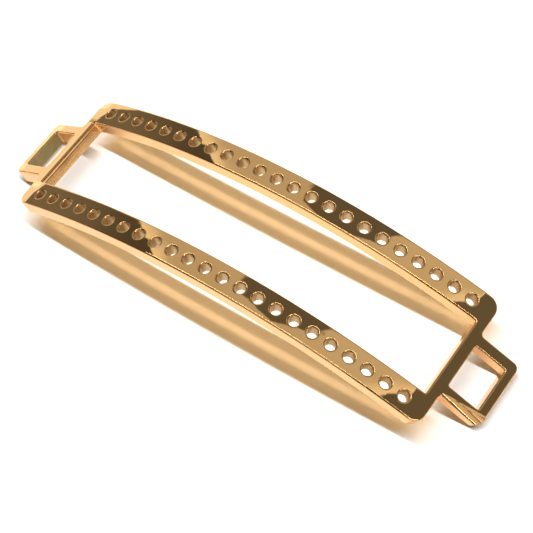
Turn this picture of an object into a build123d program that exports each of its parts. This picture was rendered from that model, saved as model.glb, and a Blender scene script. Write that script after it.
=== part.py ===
"""Arched two-row perforated frame connector with a strap loop at each end.

A uniform polished plate follows a shallow circular arch, turns down through a short bend
near each end and runs on flat into a strap loop.  Two long rails carry a row of thread
holes each and two narrow end bars close the frame.  Every member is its own solid;
neighbours meet on flush butt faces.

Axes: +X along the length, +Y across the width (back rail at +Y), +Z up.
Origin: centre of the plan, on the flat surface the two loop tips stand on.
Units: millimetres.
"""
import os
from math import atan2, cos, degrees, hypot, radians, sin

from build123d import *

# ---- plate, seen from the side: arch, bend, flat end ------------------------------
PLATE_THICKNESS = 1.2
ARCH_RADIUS = 50.3            # of the top surface
BEND_START = 18.0             # along the top surface, from the crown
BEND_RADIUS = 4.0             # of the top surface
END_SLOPE = 27.8              # degrees below horizontal, end bars and loops

# ---- frame, seen from above ---------------------------------------------------------
BODY_WIDTH = 11.7
CORNER_RADIUS = 1.0
OPENING_WIDTH = 6.92
OPENING_END = 0.25            # end wall of the opening, past the bend
OPENING_CORNER_RADIUS = 0.15
END_BAR_WIDTH = 0.93

# ---- thread holes -------------------------------------------------------------------
HOLES_PER_ROW = 23
HOLE_PITCH = 1.6              # one seed bead per hole
ROW_SPACING = 9.3
BORE_DIAMETER = 0.86
RIM_DIAMETER = 1.04           # mouth of the small countersink

# ---- strap loops ----------------------------------------------------------------------
LOOP_LENGTH = 3.7             # outer face of the end bar to the tip
LOOP_WIDTH = 5.7
LOOP_TIP_RADIUS = 0.55
LOOP_ROOT_RADIUS = 0.3        # inside corners between loop and end bar
WINDOW_START = 0.12
WINDOW_LENGTH = 2.78
WINDOW_WIDTH = 3.76
WINDOW_CORNER_RADIUS = 0.15

# ---- edge softening ----------------------------------------------------------------------
TOP_EDGE_ROUND = 0.14
BOTTOM_EDGE_ROUND = 0.08
FLUTES = ((0.62, 0.09), (0.34, 0.22), (0.04, 0.48))    # offset and depth at the tip of the file strokes
FLUTE_RADIUS = 0.55                    # of a file stroke along the front arm of the right loop

# ---- derived ---------------------------------------------------------------------------------
BEND_ANGLE = BEND_START / ARCH_RADIUS
SLOPE = radians(END_SLOPE)
PITCH_ANGLE = HOLE_PITCH / ARCH_RADIUS
BODY_END = OPENING_END + END_BAR_WIDTH
TIP = BODY_END + LOOP_LENGTH
BEND_CENTRE_X = (ARCH_RADIUS - BEND_RADIUS) * sin(BEND_ANGLE)
BEND_CENTRE_DROP = ARCH_RADIUS - (ARCH_RADIUS - BEND_RADIUS) * cos(BEND_ANGLE)
FLAT_X = BEND_CENTRE_X + BEND_RADIUS * sin(SLOPE)
FLAT_DROP = BEND_CENTRE_DROP - BEND_RADIUS * cos(SLOPE)
FOOT_ROUNDING = BOTTOM_EDGE_ROUND * (cos(SLOPE) + sin(SLOPE) - 1)    # lost at the rounded foot
CROWN = FLAT_DROP + TIP * sin(SLOPE) + PLATE_THICKNESS * cos(SLOPE) - FOOT_ROUNDING
ARCH_CENTRE_Z = CROWN - ARCH_RADIUS
BLOCK_HEIGHT = 8.0            # of the blocks that cut square through the plate


def end_plane(side):
    """Plane on the flat end's top face: origin at the bend, local x runs to the tip."""
    origin = (side * FLAT_X, 0, CROWN - FLAT_DROP)
    along = (side * cos(SLOPE), 0, -sin(SLOPE))
    normal = (side * sin(SLOPE), 0, cos(SLOPE))
    return Plane(origin=origin, x_dir=along, z_dir=normal)


def side_curve(depth, reach):
    """Side view of the surface at a depth below the top: points (x, z) from the left end to the right.

    They are the ends and middles of the arcs; reach is how far the flat ends run past the bend.
    """
    def on_arch(turn):
        radius = ARCH_RADIUS - depth
        return (radius * sin(turn), ARCH_CENTRE_Z + radius * cos(turn))

    def on_bend(turn):
        radius = BEND_RADIUS - depth
        return (BEND_CENTRE_X + radius * sin(turn), CROWN - BEND_CENTRE_DROP + radius * cos(turn))

    flat = on_bend(SLOPE)
    end = (flat[0] + reach * cos(SLOPE), flat[1] - reach * sin(SLOPE))
    right = [on_arch(BEND_ANGLE), on_bend((BEND_ANGLE + SLOPE) / 2), flat, end]
    left = [(-x, z) for x, z in reversed(right)]
    return left + [on_arch(0)] + right


def trace(points):
    """Lines and arcs of one side curve, either way round."""
    end, flat, bend, start, top, start2, bend2, flat2, end2 = points
    Line(end, flat)
    ThreePointArc(flat, bend, start)
    ThreePointArc(start, top, start2)
    ThreePointArc(start2, bend2, flat2)
    Line(flat2, end2)


def strip(above, below, reach, width):
    """Plate along the side curve, between two depths, with square ends."""
    top = side_curve(-above, reach)
    under = side_curve(below, reach)
    with BuildSketch(Plane.XZ) as profile:
        with BuildLine():
            trace(top)
            Line(top[-1], under[-1])
            trace(under[::-1])
            Line(under[0], top[0])
        make_face()
    return extrude(profile.sketch, amount=width / 2, both=True)


def end_box(side, start, stop, width, y=0.0):
    """Block standing square on the flat end, through the plate, from start to stop past the bend."""
    block = Pos((start + stop) / 2, y, 0) * Box(stop - start, width, BLOCK_HEIGHT)
    return end_plane(side) * block


def full_length(solid, height):
    """Straight edges as long as a wall of the given height."""
    return [e for e in solid.edges().filter_by(GeomType.LINE) if abs(e.length - height) < 1e-3]


def corner_edges(plate, along, across):
    """The four through-thickness edges at one plan position, mirrored to both ends and sides."""
    found = []
    for edge in full_length(plate, PLATE_THICKNESS):
        middle = edge.center()
        place = end_plane(1).to_local_coords(Vector(abs(middle.X), abs(middle.Y), middle.Z))
        if abs(place.X - along) < 0.05 and abs(place.Y - across) < 0.05:
            found.append(edge)
    return found


def outline():
    """Frame and both loops in one plate, with every plan corner rounded and nothing cut out yet."""
    plate = strip(0, PLATE_THICKNESS, TIP, BODY_WIDTH)
    beside = (BODY_WIDTH - LOOP_WIDTH) / 2
    for side in (-1, 1):
        for y in (-1, 1):
            middle = y * (LOOP_WIDTH / 2 + beside / 2 + 0.5)
            plate -= end_box(side, BODY_END, TIP + 1, beside + 1, middle)
    plate = fillet(corner_edges(plate, BODY_END, BODY_WIDTH / 2), CORNER_RADIUS)
    plate = fillet(corner_edges(plate, TIP, LOOP_WIDTH / 2), LOOP_TIP_RADIUS)
    return fillet(corner_edges(plate, BODY_END, LOOP_WIDTH / 2), LOOP_ROOT_RADIUS)


def with_openings(plate):
    """Plate with the central opening and the two strap windows cut through."""
    spare = 1.0
    cutter = strip(spare, PLATE_THICKNESS + spare, OPENING_END, OPENING_WIDTH)
    walls = full_length(cutter, PLATE_THICKNESS + 2 * spare)
    plate -= fillet(walls, OPENING_CORNER_RADIUS)
    start = BODY_END + WINDOW_START
    for side in (-1, 1):
        window = end_box(side, start, start + WINDOW_LENGTH, WINDOW_WIDTH)
        plate -= fillet(full_length(window, BLOCK_HEIGHT), WINDOW_CORNER_RADIUS)
    return plate


def depth_at(point):
    """Depth of a point below the plate's top surface."""
    x = abs(point.X)
    place = end_plane(1).to_local_coords(Vector(x, 0, point.Z))
    if place.X >= 0:
        return -place.Z
    if atan2(x, point.Z - ARCH_CENTRE_Z) > BEND_ANGLE:
        return BEND_RADIUS - hypot(x - BEND_CENTRE_X, point.Z - CROWN + BEND_CENTRE_DROP)
    return ARCH_RADIUS - hypot(x, point.Z - ARCH_CENTRE_Z)


def is_seam(edge, depth):
    """Whether an edge is the line across the plate where arch, bend and flat end meet smoothly."""
    ends = (edge @ 0, edge @ 1)
    if edge.geom_type != GeomType.LINE or abs(ends[0].X - ends[1].X) > 1e-3:
        return False
    seams = ((ARCH_RADIUS - depth) * sin(BEND_ANGLE), BEND_CENTRE_X + (BEND_RADIUS - depth) * sin(SLOPE))
    return min(abs(abs(ends[0].X) - seam) for seam in seams) < 1e-3


def rim_edges(plate, depth):
    """Edges where the surface at the given depth meets a wall."""
    rims = []
    for edge in plate.edges():
        level = max(abs(depth_at(edge @ t) - depth) for t in (0.0, 0.5, 1.0))
        if level < 1e-3 and not is_seam(edge, depth):
            rims.append(edge)
    return rims


def softened(plate):
    """Plate with the rims of its top and under side rounded."""
    plate = fillet(rim_edges(plate, 0), TOP_EDGE_ROUND)
    return fillet(rim_edges(plate, PLATE_THICKNESS), BOTTOM_EDGE_ROUND)


def hole_tool():
    """Bore with a 45 degree countersink at both faces, about the vertical axis, seam towards +Y."""
    radius = BORE_DIAMETER / 2
    sink = RIM_DIAMETER / 2 - radius
    half = PLATE_THICKNESS / 2
    spare = 0.3
    wide = RIM_DIAMETER / 2 + spare
    outline_points = [(0, -half - spare), (wide, -half - spare), (radius, sink - half),
                      (radius, half - sink), (wide, half + spare), (0, half + spare)]
    with BuildSketch(Plane.XZ) as profile:
        with BuildLine():
            Polyline(*outline_points, close=True)
        make_face()
    return Rot(0, 0, 90) * revolve(profile.sketch, Axis.Z)


def drilled(body, y):
    """Body with the row of radial holes cut through the plate at the given side."""
    tool = hole_tool()
    middle = (HOLES_PER_ROW - 1) / 2
    for index in range(HOLES_PER_ROW):
        turn = degrees((index - middle) * PITCH_ANGLE)
        place = Pos(0, y, ARCH_CENTRE_Z) * Rot(0, turn, 0) * Pos(0, 0, ARCH_RADIUS - PLATE_THICKNESS / 2)
        body -= place * tool
    return body


def rail(plate, side):
    """Long member on one side of the opening, drilled with its row of holes."""
    depth = (BODY_WIDTH - OPENING_WIDTH) / 2
    middle = side * (OPENING_WIDTH / 2 + depth / 2)
    body = plate & (Pos(0, middle, 0) * Box(60, depth, 60))
    for end in (-1, 1):
        body -= end_box(end, BODY_END, TIP + 1, BODY_WIDTH)
    return drilled(body, side * ROW_SPACING / 2)


def end_bar(plate, side):
    """Narrow member closing one end of the opening between the rails."""
    return plate & end_box(side, -1, BODY_END, OPENING_WIDTH)


def flute_tool(offset, depth):
    """Round file lying along the front arm: it bites at the tip and leaves the root untouched."""
    edge = -LOOP_WIDTH / 2
    root = Vector(BODY_END + 0.05, edge + 0.1, FLUTE_RADIUS)
    end = Vector(TIP, edge + offset, FLUTE_RADIUS - depth)
    stroke = end - root
    middle = root + stroke * 0.6
    return Plane(origin=middle, z_dir=stroke) * Cylinder(FLUTE_RADIUS, 1.2 * stroke.length)


def strap_loop(plate, side):
    """Flat loop beyond the end bar; the front arm of the right one was eased with a round file."""
    loop = plate & end_box(side, BODY_END, TIP + 1, BODY_WIDTH)
    if side > 0:
        for offset, depth in FLUTES:
            loop -= end_plane(side) * flute_tool(offset, depth)
    return loop


def make_parts():
    """All members of the assembly, keyed by node name."""
    plate = softened(with_openings(outline()))
    return {
        "front_rail": rail(plate, -1),
        "back_rail": rail(plate, 1),
        "left_end_bar": end_bar(plate, -1),
        "right_end_bar": end_bar(plate, 1),
        "left_strap_loop": strap_loop(plate, -1),
        "right_strap_loop": strap_loop(plate, 1),
    }


def main():
    os.makedirs("parts", exist_ok=True)
    for name, shape in make_parts().items():
        shape.label = name
        export_step(shape, os.path.join("parts", name + ".step"))


main()
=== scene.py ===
"""Polished gold connector frame on a pale table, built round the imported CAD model.

Everything is in metres in the CAD frame.  Sizes that a person would measure are given in
millimetres and multiplied by MM.
"""
from math import asin, cos, hypot, pi, radians, sin, tan

import bpy
from mathutils import Matrix, Vector


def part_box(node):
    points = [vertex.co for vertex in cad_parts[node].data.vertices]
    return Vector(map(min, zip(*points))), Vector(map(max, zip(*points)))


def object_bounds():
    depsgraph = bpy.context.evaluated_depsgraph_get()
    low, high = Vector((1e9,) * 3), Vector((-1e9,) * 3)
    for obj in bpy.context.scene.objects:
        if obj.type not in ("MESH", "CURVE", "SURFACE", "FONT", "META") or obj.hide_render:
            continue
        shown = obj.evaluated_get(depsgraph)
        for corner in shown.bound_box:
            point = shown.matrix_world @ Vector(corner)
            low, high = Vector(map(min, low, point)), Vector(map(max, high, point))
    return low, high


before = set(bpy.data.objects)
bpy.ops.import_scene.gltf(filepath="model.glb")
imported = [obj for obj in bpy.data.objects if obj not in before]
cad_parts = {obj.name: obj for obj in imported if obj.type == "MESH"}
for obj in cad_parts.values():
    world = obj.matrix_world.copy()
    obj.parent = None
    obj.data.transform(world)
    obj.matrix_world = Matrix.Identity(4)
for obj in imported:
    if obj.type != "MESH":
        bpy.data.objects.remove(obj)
cad_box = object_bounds()

MM = 0.001
CROWN = cad_box[1].z                     # top of the arch

# ---- camera: a turn round the crown, in degrees and millimetres ------------------------
CAMERA_AZIMUTH = 46.628
CAMERA_ELEVATION = 57.395
CAMERA_ROLL = -13.452
CAMERA_DISTANCE = 112.232
CAMERA_SLIDE = (1.892, -3.286)           # right and up in the picture
FIELD_OF_VIEW = 20.24

# ---- the arch, for finishes that follow it ----------------------------------------------
ARCH_RADIUS = 50.3 * MM
PLATE_THICKNESS = 1.2 * MM
RAIL_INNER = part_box("back_rail")[0].y
RAIL_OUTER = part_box("back_rail")[1].y
RAIL_MIDDLE = (RAIL_INNER + RAIL_OUTER) / 2
RAIL_WIDTH = RAIL_OUTER - RAIL_INNER
HOLE_PITCH = 1.6 * MM
HOLES_EACH_WAY = 11
ROW = 4.65 * MM                          # of holes, from the middle of the part
BORE = 0.43 * MM
RIM = 0.135 * MM                         # worn rounding of the hole edges, a little past the countersink
PILLOW = 0.085                           # slope of the polished rails at their long edges
SHEAR_DEPTH = 0.37 * MM                  # groove left by the cutter, below the top surface
LOOP_SHADE_END = (-20.9 * MM, -20.6 * MM)   # along the part, where the painted shade on the wall inside the left loop fades out
LOOP_SHADE_SIDE = (1.9 * MM, 2.0 * MM)      # across the part, the same

# ---- finish -----------------------------------------------------------------------------
GOLD = (0.86, 0.53, 0.22)
WORN_GOLD = (0.86, 0.511, 0.198)
CUT_EDGE = (0.78, 0.42, 0.165)
DRILLED = (0.50, 0.365, 0.20)
SECOND = (0.9, 0.68, 0.42)               # metal seen in metal, kept from going orange
# painted shade: dark olive for the cut wall inside the left loop
LOOP_SHADE_COLOUR = (0.36, 0.31, 0.15)
PIT = (0.35, 0.2, 0.09)
RELIEF = 0.0032 * MM                     # height of one unit of the finish
TABLE = (0.92, 0.935, 0.94)
TABLE_GRAIN = (0.906, 0.921, 0.926)
TABLE_RADIUS = 0.16
TABLE_LIFT = 0.55                        # glow at the table's rim, where the lamps reach it less

# ---- lamps ------------------------------------------------------------------------------
LAMP_HEIGHT = 0.24
LAMP_ASIDE = 0.0143                      # towards the back of the part
LAMP_SIZE = 0.0135
LAMP_STEP = 0.089                        # between two lamps of the strip, in radians
LAMPS_EACH_WAY = 7
LAMP_POWER = 0.0605                      # each
WHITE = (1.0, 1.0, 0.99)                 # of the lamps and the room

# ---- gold light thrown down by the underside of the rails ----------------------------------
BOUNCE_COLOUR = (1.0, 0.59, 0.20)
BOUNCE_RADIANCE = 1.45
BOUNCE_SPREAD = 120                      # degrees
BOUNCE_CARDS = 6                         # along each rail
BOUNCE_REACH = 19.6 * MM                 # of the row of cards, from the middle of the part
BOUNCE_FADE = 0.85                       # power of the height by which low cards are dimmed
BOUNCE_GAP = 0.15 * MM                   # between a card and the underside
CARD_WIDTH = 0.9 * RAIL_WIDTH
END_CARD = 2.4 * MM                      # length of the card under each flat end
END_CARD_GAP = 0.1 * MM
END_CARD_SHARE = 0.3                     # of the radiance of the other cards
FILM_TINT = (0.95, 0.6, 0.32)            # light that reaches the table past the drilled walls
FILM_HALF_WIDTH = 0.6 * MM
FILM_GAP = 0.05 * MM

# ---- room that the metal reflects: places are parts of a unit direction --------------------
PANEL_LEFT = (0.524, 0.33)               # edge of the overhead panel at y = 0, and its slope
PANEL_RIGHT = (0.262, 0.24)
PANEL_REACH = 0.82
PANEL_RIM = 0.09                         # brighter border
SHAPE_SPAN = (0.306, 0.029)              # dark rounded shape in the panel, to the left and right
SHAPE_FOOT = ((0.1, -0.77), (0.3425, 0.965))     # its two slanting edges: y at x = 0, and slope
CARD_START = (0.52, -0.08, 0.2)          # corner of the pale card beyond the right end
STRIP_PLACE = 0.06                       # row of lamps as a thin bright line
STRIP_HALF_WIDTH = 0.024
STRIP_SPAN = (0.62, 0.85)                # to the left and right
HORIZON_LINE = (-0.4225, 1.5)            # top of the low cove at y = 0, and its slope
HORIZON_RANGE = (0.05, 0.28)
SOFT_EDGE = 0.006
PANEL_GLOW = (0.57, 0.63, 0.98)          # radiance of its left half, right half and border
SHAPE_GLOW = 0.13
WALL_GLOW = (0.085, 0.2, 0.14)           # left, far left, right
CARD_GLOW = 0.85
STRIP_GLOW = 11.0
COVE_GLOW = (1.12, 0.35, 0.22)           # far left, middle, right
AMBIENT = 0.06                           # of the room on matt surfaces


class Nodes:
    """Short hand for building a node tree; sums and products take numbers or sockets."""

    def __init__(self, tree):
        self.tree = tree

    def add(self, kind, **settings):
        node = self.tree.nodes.new(kind)
        for key, value in settings.items():
            setattr(node, key, value)
        return node

    def put(self, socket, value):
        if isinstance(value, bpy.types.NodeSocket):
            self.tree.links.new(value, socket)
        elif value is not None:
            socket.default_value = value

    def fill(self, node, **inputs):
        """Set inputs by name, written with _ for a space, and return the first output."""
        for name, value in inputs.items():
            self.put(node.inputs[name.replace("_", " ")], value)
        return node.outputs[0]

    def math(self, operation, a, b=None, c=None, clamp=False):
        node = self.add("ShaderNodeMath", operation=operation, use_clamp=clamp)
        for socket, value in zip(node.inputs, (a, b, c)):
            self.put(socket, value)
        return node.outputs[0]

    def plus(self, a, b):
        return self.math("ADD", a, b)

    def minus(self, a, b):
        return self.math("SUBTRACT", a, b)

    def times(self, a, *others):
        for other in others:
            a = self.math("MULTIPLY", a, other)
        return a

    def over(self, a, b, clamp=False):
        return self.math("DIVIDE", a, b, clamp=clamp)

    def size(self, a):
        return self.math("ABSOLUTE", a)

    def above(self, a, b):
        return self.math("GREATER_THAN", a, b)

    def below(self, a, b):
        return self.math("LESS_THAN", a, b)

    def hypot(self, a, b):
        return self.math("SQRT", self.plus(self.times(a, a), self.times(b, b)))

    def smallest(self, values, rounding):
        """Least of the values, with rounded corners between them."""
        least = values[0]
        for value in values[1:]:
            least = self.math("SMOOTH_MIN", least, value, rounding)
        return least

    def ramp(self, value, low, high, out_low=0.0, out_high=1.0):
        """Smooth step from out_low at low to out_high at high."""
        node = self.add("ShaderNodeMapRange", interpolation_type="SMOOTHSTEP")
        return self.fill(node, Value=value, From_Min=low, From_Max=high, To_Min=out_low, To_Max=out_high)

    def noise(self, vector, scale, detail=2.0, roughness=0.5):
        node = self.add("ShaderNodeTexNoise")
        return self.fill(node, Vector=vector, Scale=scale, Detail=detail, Roughness=roughness)

    def blend(self, kind, first, output, factor, a, b):
        """Mix node of one kind; first and output are the places of its sockets."""
        node = self.add("ShaderNodeMix", data_type=kind)
        for index, value in ((0, factor), (first, a), (first + 1, b)):
            self.put(node.inputs[index], value)
        return node.outputs[output]

    def mix(self, factor, a, b):
        """Mix of two numbers."""
        return self.blend("FLOAT", 2, 0, factor, a, b)

    def mix_vector(self, factor, a, b):
        return self.blend("VECTOR", 4, 1, factor, a, b)

    def colour(self, factor, a, b):
        return self.blend("RGBA", 6, 2, factor, a, b)

    def xyz(self, vector):
        node = self.add("ShaderNodeSeparateXYZ")
        self.put(node.inputs[0], vector)
        return node.outputs

    def vector(self, x, y, z):
        node = self.add("ShaderNodeCombineXYZ")
        for socket, value in zip(node.inputs, (x, y, z)):
            self.put(socket, value)
        return node.outputs[0]

    def vector_math(self, operation, *vectors):
        node = self.add("ShaderNodeVectorMath", operation=operation)
        for socket, value in zip(node.inputs, vectors):
            self.put(socket, value)
        return node.outputs[0]


def solid(colour):
    """Colour with its alpha."""
    return (*colour, 1.0)


def new_material(name):
    """Material, its node helper and its main shader."""
    material = bpy.data.materials.new(name)
    material.use_nodes = True
    return material, Nodes(material.node_tree), material.node_tree.nodes["Principled BSDF"]


# ------------------------------------------------------------------------------- camera

def add_camera():
    az, el, roll = (radians(a) for a in (CAMERA_AZIMUTH, CAMERA_ELEVATION, CAMERA_ROLL))
    back = Vector((sin(az) * cos(el), -cos(az) * cos(el), sin(el)))
    level = Vector((cos(az), sin(az), 0))
    upright = back.cross(level)
    right = cos(roll) * level + sin(roll) * upright
    up = cos(roll) * upright - sin(roll) * level
    aside, above = CAMERA_SLIDE
    place = Vector((0, 0, CROWN)) + MM * (CAMERA_DISTANCE * back + aside * right + above * up)
    data = bpy.data.cameras.new("camera")
    data.sensor_width = 36.0
    data.angle = radians(FIELD_OF_VIEW)
    data.clip_start = 0.001
    data.clip_end = 10.0
    camera = bpy.data.objects.new("camera", data)
    camera.matrix_world = Matrix.Translation(place) @ Matrix((right, up, back)).transposed().to_4x4()
    bpy.context.scene.collection.objects.link(camera)
    bpy.context.scene.camera = camera


# ------------------------------------------------------------------------------- gold finish

class Surface:
    """Where a shaded point lies on the arched plate."""

    def __init__(self, n):
        self.place = n.add("ShaderNodeTexCoord").outputs["Object"]
        self.normal = n.add("ShaderNodeNewGeometry").outputs["Normal"]
        self.x, self.y, z = n.xyz(self.place)
        self.nx, _, nz = n.xyz(self.normal)
        self.up = n.plus(z, ARCH_RADIUS - CROWN)             # above the arch centre
        self.radius = n.hypot(self.x, self.up)
        self.depth = n.minus(ARCH_RADIUS, self.radius)       # below the top surface
        self.angle = n.math("ARCTAN2", self.x, self.up)      # from the crown
        self.side = n.math("SIGN", self.y)                   # which rail
        outward = n.over(n.plus(n.times(self.x, self.nx), n.times(self.up, nz)), self.radius)
        self.flat = n.ramp(n.size(outward), 0.93, 0.985)     # 1 on top and underside, 0 on cut edges
        self.cut = n.minus(1.0, self.flat)


class Hole:
    """The nearest drilled hole: distance from its axis and how far its round rim has turned down."""

    def __init__(self, n, at):
        arc = n.times(at.angle, ARCH_RADIUS)
        count = n.math("ROUND", n.over(arc, HOLE_PITCH))
        past_row = n.above(n.size(count), HOLES_EACH_WAY + 0.5)
        self.along = n.minus(arc, n.times(count, HOLE_PITCH))
        self.beside = n.minus(at.y, n.times(at.side, ROW))
        self.reach = n.mix(past_row, n.hypot(self.along, self.beside), 1.0)
        self.near = n.below(self.reach, BORE + RIM)
        self.sunk = n.over(n.minus(BORE + RIM, self.reach), RIM, clamp=True)
        self.wall = n.times(self.near, n.ramp(self.sunk, 0.75, 1.0))


def pillowed(n, at):
    """Normal of the plate, its rails slightly crowned across their width by polishing."""
    across = n.over(n.minus(at.y, n.times(at.side, RAIL_MIDDLE)), RAIL_WIDTH / 2)
    on_rail = n.above(n.size(at.y), RAIL_INNER)
    tilt = n.times(across, PILLOW, n.times(at.flat, on_rail))
    crowned = n.vector_math("ADD", at.normal, n.vector(0.0, tilt, 0.0))
    return n.vector_math("NORMALIZE", crowned)


def round_rims(n, at, hole, elsewhere):
    """Normal with true round walls and rims in the drilled holes, and the given one elsewhere."""
    level = n.math("SQRT", n.minus(1.0, n.times(hole.sunk, hole.sunk)), clamp=True)
    east = n.over(n.times(hole.along, hole.sunk), hole.reach)
    north = n.over(n.times(hole.beside, hole.sunk), hole.reach)
    rise_x = n.over(at.x, at.radius)
    rise_z = n.over(at.up, at.radius)
    rim_x = n.minus(n.times(rise_x, level), n.times(rise_z, east))
    rim_z = n.plus(n.times(rise_z, level), n.times(rise_x, east))
    rim = n.vector(rim_x, n.times(north, -1.0), rim_z)
    inside = n.times(hole.near, n.below(at.depth, PLATE_THICKNESS - RIM))
    return n.mix_vector(inside, elsewhere, rim)


def pits(n, at):
    """Sparse pinholes in the plating."""
    cells = n.add("ShaderNodeTexVoronoi", feature="F1")
    n.fill(cells, Vector=at.place, Scale=1000.0)
    chosen = n.above(n.xyz(cells.outputs["Color"])[0], 0.9)
    return n.times(n.ramp(cells.outputs["Distance"], 0.03, 0.1, 1.0, 0.0), chosen)


def edge_lines(n, at, hole):
    """Fine lines along the cut edges and the cutter's groove, strongest on the end walls."""
    grain = n.vector(n.times(at.depth, 9000.0), n.times(at.angle, 18.0), n.times(at.y, 90.0))
    fine = n.noise(grain, 1.0, 3.0, 0.65)
    off_groove = n.size(n.minus(at.depth, SHEAR_DEPTH))
    groove = n.ramp(off_groove, 0.03 * MM, 0.09 * MM, 1.0, 0.0)
    lines = n.minus(n.times(fine, 0.2), n.times(groove, 2.4))
    on_end_wall = n.ramp(n.size(at.nx), 0.3, 0.8, 0.25, 1.0)
    return n.times(lines, on_end_wall, at.cut, n.above(hole.reach, BORE + RIM))


def scratches(n, at):
    """A few hairline scratches from handling, slanting across the part."""
    skew = n.plus(n.times(at.x, 0.8), n.times(at.y, 0.6))
    cross = n.minus(n.times(at.y, 0.8), n.times(at.x, 0.6))
    streaks = n.noise(n.vector(n.times(skew, 260.0), n.times(cross, 11000.0), 0.0), 1.0, 1.0)
    patches = n.noise(at.place, 160.0, 1.0)
    return n.times(n.ramp(streaks, 0.74, 0.82), n.ramp(patches, 0.5, 0.6))


def relief(n, at, hole, pit):
    """Height of the finish: slow waviness, scratches, orange peel, pits and edge lines."""
    height = n.times(n.noise(at.place, 420.0, 1.0), 4.0)
    height = n.plus(height, n.times(scratches(n, at), -0.35))
    height = n.plus(height, n.times(n.noise(at.place, 5200.0), 0.12))
    height = n.plus(height, n.times(pit, -2.2))
    return n.plus(height, n.times(edge_lines(n, at, hole), 2.6))


def painted_loop_shade(n, at):
    """Painted shade: how far the cut wall inside the left loop is made dark and dull, standing in for
    the shaded table it reflects.
    """
    along = n.times(n.ramp(at.x, *LOOP_SHADE_END, 1.0, 0.0), n.ramp(at.nx, 0.5, 0.7))
    across = n.ramp(n.size(at.y), *LOOP_SHADE_SIDE, 1.0, 0.0)
    patches = n.ramp(n.noise(at.place, 1500.0, 3.0), 0.25, 0.6, 0.75, 1.0)
    return n.times(along, across, patches)


def roughness(n, at, hole, pit, loop_shade):
    haze = n.ramp(n.noise(at.place, 700.0, 3.0, 0.6), 0.35, 0.75, 0.012, 0.05)
    rough = n.plus(haze, n.times(pit, 0.25))
    rough = n.plus(rough, n.times(at.cut, 0.09))
    rough = n.mix(hole.wall, rough, 0.42)
    # rougher as well under the painted shade inside the left loop
    return n.mix(loop_shade, rough, 0.5)


def metal_colour(n, at, hole, pit, loop_shade):
    tint = n.ramp(n.noise(at.place, 260.0), 0.3, 0.7)
    body = n.colour(tint, solid(GOLD), solid(WORN_GOLD))
    body = n.colour(at.flat, solid(CUT_EDGE), body)
    body = n.colour(hole.wall, body, solid(DRILLED))
    # painted shade on the cut wall inside the left loop
    body = n.colour(loop_shade, body, solid(LOOP_SHADE_COLOUR))
    body = n.colour(n.times(pit, 0.5), body, solid(PIT))
    seen_in_metal = n.add("ShaderNodeLightPath").outputs["Is Glossy Ray"]
    return n.colour(n.times(seen_in_metal, 0.9), body, solid(SECOND))


def gold_plate():
    """Mirror polished gold plate with its pillowed rails, round rims, worn details and a painted shade
    inside the left loop.
    """
    material, n, shader = new_material("gold_plate")
    at = Surface(n)
    hole = Hole(n, at)
    pit = pits(n, at)
    # mask of the painted shade inside the left loop
    loop_shade = painted_loop_shade(n, at)
    normal = round_rims(n, at, hole, pillowed(n, at))
    bump = n.fill(n.add("ShaderNodeBump"), Strength=1.0, Distance=RELIEF,
                  Height=relief(n, at, hole, pit), Normal=normal)
    n.fill(shader, Base_Color=metal_colour(n, at, hole, pit, loop_shade), Metallic=1.0,
           Roughness=roughness(n, at, hole, pit, loop_shade), Normal=bump)
    return material


# ------------------------------------------------------------------------------- stage

def table_top():
    """Matt white card with a very faint grain, which stays white away from the part."""
    material, n, shader = new_material("table_top")
    place = n.add("ShaderNodeTexCoord").outputs["Object"]
    x, y, _ = n.xyz(place)
    grain = n.ramp(n.noise(place, 900.0, 3.0), 0.3, 0.7)
    lift = n.ramp(n.hypot(x, y), 0.02, TABLE_RADIUS, 0.0, TABLE_LIFT)
    n.fill(shader, Base_Color=n.colour(grain, solid(TABLE), solid(TABLE_GRAIN)), Roughness=0.8,
           Specular_IOR_Level=0.1, Emission_Color=(1, 1, 1, 1), Emission_Strength=lift)
    return material


def add_table():
    bpy.ops.mesh.primitive_circle_add(vertices=96, radius=TABLE_RADIUS, fill_type="NGON")
    table = bpy.context.active_object
    table.name = "table"
    table.data.materials.append(table_top())


def hide_from(thing, *rays):
    """Keep an object out of the named kinds of ray."""
    for ray in rays:
        setattr(thing, "visible_" + ray, False)


def area_light(name, shape, size, place, turn, power, colour):
    data = bpy.data.lights.new(name, "AREA")
    data.shape = shape
    data.size = size[0]
    data.size_y = size[-1]
    data.energy = power
    data.color = colour
    light = bpy.data.objects.new(name, data)
    light.location = place
    light.rotation_euler = (0, turn, 0)
    bpy.context.scene.collection.objects.link(light)
    return light


def add_lamps():
    """A strip of small lamps overhead, running the length of the part."""
    for i in range(-LAMPS_EACH_WAY, LAMPS_EACH_WAY + 1):
        name = f"lamp_{i + LAMPS_EACH_WAY}"
        place = (LAMP_HEIGHT * tan(i * LAMP_STEP), LAMP_ASIDE, LAMP_HEIGHT)
        lamp = area_light(name, "DISK", (LAMP_SIZE,), place, 0, LAMP_POWER, WHITE)
        hide_from(lamp, "glossy")


def bounce_card(name, length, place, turn, share):
    """Gold card facing down, with a share of the full radiance."""
    power = pi * BOUNCE_RADIANCE * length * CARD_WIDTH * share
    card = area_light(name, "RECTANGLE", (length, CARD_WIDTH), place, turn, power, BOUNCE_COLOUR)
    hide_from(card, "camera", "glossy")
    return card


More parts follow.
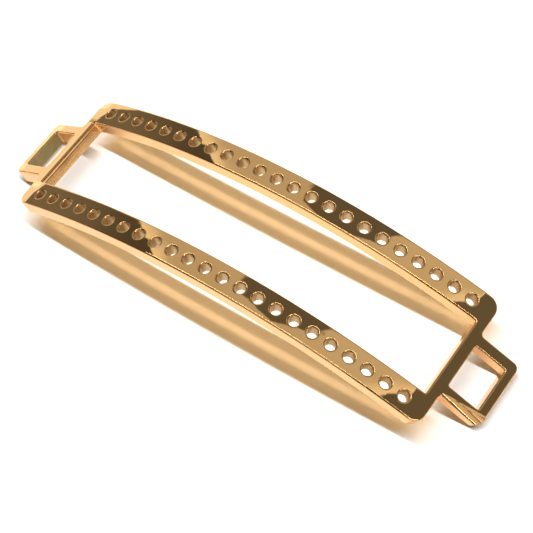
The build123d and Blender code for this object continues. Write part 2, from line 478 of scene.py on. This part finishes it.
def add_bounce():
    """Gold light from the underside of each rail, which the shadow on the table shows."""
    length = 2 * BOUNCE_REACH / BOUNCE_CARDS
    for side in (-1, 1):
        for i in range(BOUNCE_CARDS):
            x = (i + 0.5) * length - BOUNCE_REACH
            turn = asin(x / ARCH_RADIUS)
            z = CROWN - PLATE_THICKNESS - BOUNCE_GAP - ARCH_RADIUS * (1 - cos(turn))
            place = (x, side * RAIL_MIDDLE, z)
            card = bounce_card(f"bounce_{side}_{i}", length, place, turn, (z / CROWN) ** BOUNCE_FADE)
            card.data.spread = radians(BOUNCE_SPREAD)
        for end in ("left_end_bar", "right_end_bar"):
            low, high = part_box(end)
            place = ((low.x + high.x) / 2, side * RAIL_MIDDLE, low.z - END_CARD_GAP)
            bounce_card(f"bounce_{side}_{end}", END_CARD, place, 0.0, END_CARD_SHARE)


def film_material():
    """Clear gold."""
    material, n, _ = new_material("warm_film")
    clear = n.fill(n.add("ShaderNodeBsdfTransparent"), Color=solid(FILM_TINT))
    n.put(material.node_tree.nodes["Material Output"].inputs["Surface"], clear)
    return material


def add_warm_film():
    """Gold film under each row of holes: the drilled walls warm the light that passes them.

    Only shadow rays meet it.
    """
    mesh = bpy.data.meshes.new("warm_film")
    radius = ARCH_RADIUS - PLATE_THICKNESS - FILM_GAP
    corners = []
    quads = []
    for side in (-1, 1):
        for i in range(-HOLES_EACH_WAY - 1, HOLES_EACH_WAY + 2):
            turn = i * HOLE_PITCH / ARCH_RADIUS
            height = CROWN - ARCH_RADIUS + radius * cos(turn)
            for across in (-FILM_HALF_WIDTH, FILM_HALF_WIDTH):
                corners.append((radius * sin(turn), side * ROW + across, height))
            if i > -HOLES_EACH_WAY - 1:
                last = len(corners) - 1
                quads.append((last - 3, last - 2, last, last - 1))
    mesh.from_pydata(corners, [], quads)
    mesh.materials.append(film_material())
    film = bpy.data.objects.new("warm_film", mesh)
    bpy.context.scene.collection.objects.link(film)
    hide_from(film, "camera", "diffuse", "glossy", "transmission")


# ------------------------------------------------------------------------------- room

class Room:
    """Direction a ray leaves in, and helpers for shapes on the walls around."""

    def __init__(self, n):
        self.n = n
        self.x, self.y, self.z = n.xyz(n.add("ShaderNodeTexCoord").outputs["Generated"])

    def line(self, offset, slope):
        """offset + slope * y"""
        return self.n.plus(self.n.times(self.y, slope), offset)

    def past(self, offset, slope):
        """How far y is past the line offset + slope * x."""
        short = self.n.minus(self.y, self.n.plus(self.n.times(self.x, slope), offset))
        return self.n.times(short, 1 / hypot(1, slope))

    def between(self, span):
        """Room left to each end of a stretch along x."""
        left, right = span
        return [self.n.plus(self.x, left), self.n.minus(right, self.x)]


def panel_light(n, room):
    """How far inside the overhead panel, and its glow with the dark shape in it."""
    edges = [n.plus(room.x, room.line(*PANEL_LEFT)),
             n.minus(room.line(*PANEL_RIGHT), room.x),
             n.minus(PANEL_REACH, n.size(room.y))]
    panel = n.smallest(edges, 0.02)
    left, right, border = PANEL_GLOW
    glow = n.ramp(room.x, -0.1, 0.1, left, right)
    glow = n.mix(n.ramp(panel, 0.0, PANEL_RIM), border, glow)
    shape = n.smallest(room.between(SHAPE_SPAN) + [room.past(*edge) for edge in SHAPE_FOOT], 0.03)
    return panel, n.mix(n.ramp(shape, -SOFT_EDGE, SOFT_EDGE), glow, SHAPE_GLOW)


def walls(n, room):
    left, far_left, right = WALL_GLOW
    wall = n.ramp(room.x, -0.64, -0.92, left, far_left)
    return n.mix(n.ramp(room.x, 0.2, 0.4), wall, right)


def pale_card(n, room):
    """How far inside the card that stands beyond the right end."""
    x, y, z = CARD_START
    return n.smallest([n.minus(room.x, x), room.line(y, -1.0), n.minus(room.z, z)], 0.02)


def lamp_strip(n, room):
    """How far inside the thin bright line of lamps."""
    width = n.minus(STRIP_HALF_WIDTH, n.size(room.line(-STRIP_PLACE, 1.0)))
    return n.smallest([width] + room.between(STRIP_SPAN), 0.004)


def cove_light(n, room):
    """Height above the top of the cove, and its glow."""
    low, high = HORIZON_RANGE
    horizon = n.math("MINIMUM", n.math("MAXIMUM", room.line(*HORIZON_LINE), low), high)
    horizon = n.mix(n.ramp(room.x, 0.3, 0.5), horizon, high)
    far_left, middle, right = COVE_GLOW
    glow = n.ramp(room.x, -0.75, -0.5, far_left, middle)
    glow = n.mix(n.ramp(room.x, 0.55, 0.75), glow, right)
    return n.minus(room.z, horizon), glow


def add_room():
    """Room seen by the metal: a panel with a dark shape, dark walls, a pale card, a white cove."""
    world = bpy.data.worlds.new("studio")
    bpy.context.scene.world = world
    world.use_nodes = True
    n = Nodes(world.node_tree)
    room = Room(n)
    panel, panel_glow = panel_light(n, room)
    over_cove, cove_glow = cove_light(n, room)
    glow = n.mix(n.ramp(panel, -SOFT_EDGE, SOFT_EDGE), walls(n, room), panel_glow)
    glow = n.mix(n.ramp(pale_card(n, room), 0.0, 0.02), glow, CARD_GLOW)
    glow = n.mix(n.ramp(lamp_strip(n, room), 0.0, SOFT_EDGE), glow, STRIP_GLOW)
    glow = n.mix(n.ramp(over_cove, -0.015, 0.015), cove_glow, glow)
    ray = n.add("ShaderNodeLightPath")
    glow = n.mix(ray.outputs["Is Diffuse Ray"], glow, AMBIENT)
    glow = n.mix(ray.outputs["Is Camera Ray"], glow, 1.0)
    n.fill(world.node_tree.nodes["Background"], Color=solid(WHITE), Strength=glow)


add_camera()
finish = gold_plate()
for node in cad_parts.values():
    node.data.materials.clear()
    node.data.materials.append(finish)
add_table()
add_lamps()
add_bounce()
add_warm_film()
add_room()
bpy.context.scene.view_settings.view_transform = "Standard"
